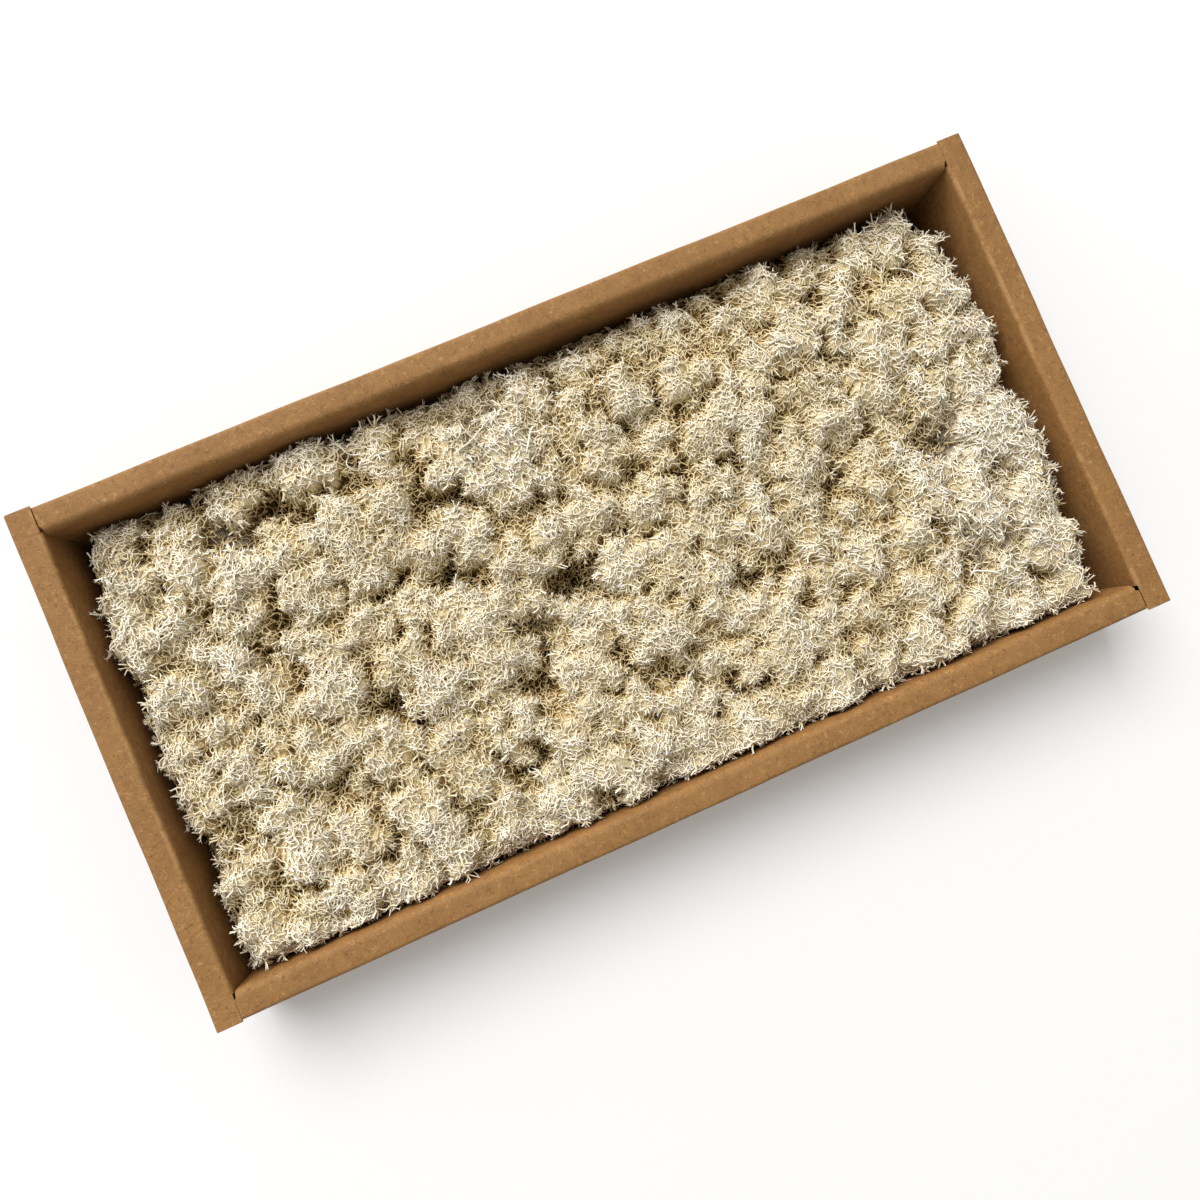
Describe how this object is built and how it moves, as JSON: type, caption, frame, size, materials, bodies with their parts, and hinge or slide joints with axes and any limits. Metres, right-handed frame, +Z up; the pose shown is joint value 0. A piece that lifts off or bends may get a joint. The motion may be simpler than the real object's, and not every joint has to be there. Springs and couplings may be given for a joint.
{
  "type": "reindeer moss clump in a folded card tray",
  "caption": "Shallow rectangular kraft card tray with folded hollow walls, filled with a pale, springy bed of finely branched reindeer lichen, for dry floral and craft display.",
  "frame": {"origin": "middle of the tray's underside, on the surface that it rests on", "axes": "+X along the tray's length, +Y across it, +Z up out of the open side"},
  "size_m": [0.3, 0.154, 0.04],
  "materials": {
    "kraft card": "matt, unprinted brown kraft card with light and dark fibre flecks",
    "pale lichen": "matt, dry and fibrous, cream to pale yellow with grey-white tips over dark olive depths"
  },
  "bodies": {
    "root": {"card_tray": "kraft card", "moss_clump_01": "pale lichen", "moss_clump_02": "pale lichen", "moss_clump_03": "pale lichen", "moss_clump_04": "pale lichen", "moss_clump_05": "pale lichen", "moss_clump_06": "pale lichen", "moss_clump_07": "pale lichen", "moss_clump_08": "pale lichen", "moss_clump_09": "pale lichen", "moss_clump_10": "pale lichen", "moss_clump_11": "pale lichen", "moss_clump_12": "pale lichen", "moss_clump_13": "pale lichen", "moss_clump_14": "pale lichen", "moss_clump_15": "pale lichen", "moss_clump_16": "pale lichen", "moss_clump_17": "pale lichen", "moss_clump_18": "pale lichen", "moss_clump_19": "pale lichen", "moss_clump_20": "pale lichen", "moss_clump_21": "pale lichen", "moss_clump_22": "pale lichen", "moss_clump_23": "pale lichen", "moss_clump_24": "pale lichen", "moss_clump_25": "pale lichen", "moss_clump_26": "pale lichen", "moss_clump_27": "pale lichen", "moss_clump_28": "pale lichen", "moss_clump_29": "pale lichen", "moss_clump_30": "pale lichen", "moss_clump_31": "pale lichen", "moss_clump_32": "pale lichen", "moss_clump_33": "pale lichen", "moss_clump_34": "pale lichen", "moss_clump_35": "pale lichen", "moss_clump_36": "pale lichen", "moss_clump_37": "pale lichen", "moss_clump_38": "pale lichen", "moss_clump_39": "pale lichen", "moss_clump_40": "pale lichen", "moss_clump_41": "pale lichen", "moss_clump_42": "pale lichen", "moss_clump_43": "pale lichen", "moss_clump_44": "pale lichen", "moss_clump_45": "pale lichen", "moss_clump_46": "pale lichen", "moss_clump_47": "pale lichen", "moss_clump_48": "pale lichen", "moss_clump_49": "pale lichen", "moss_clump_50": "pale lichen", "moss_clump_51": "pale lichen"}
  },
  "joints": []
}
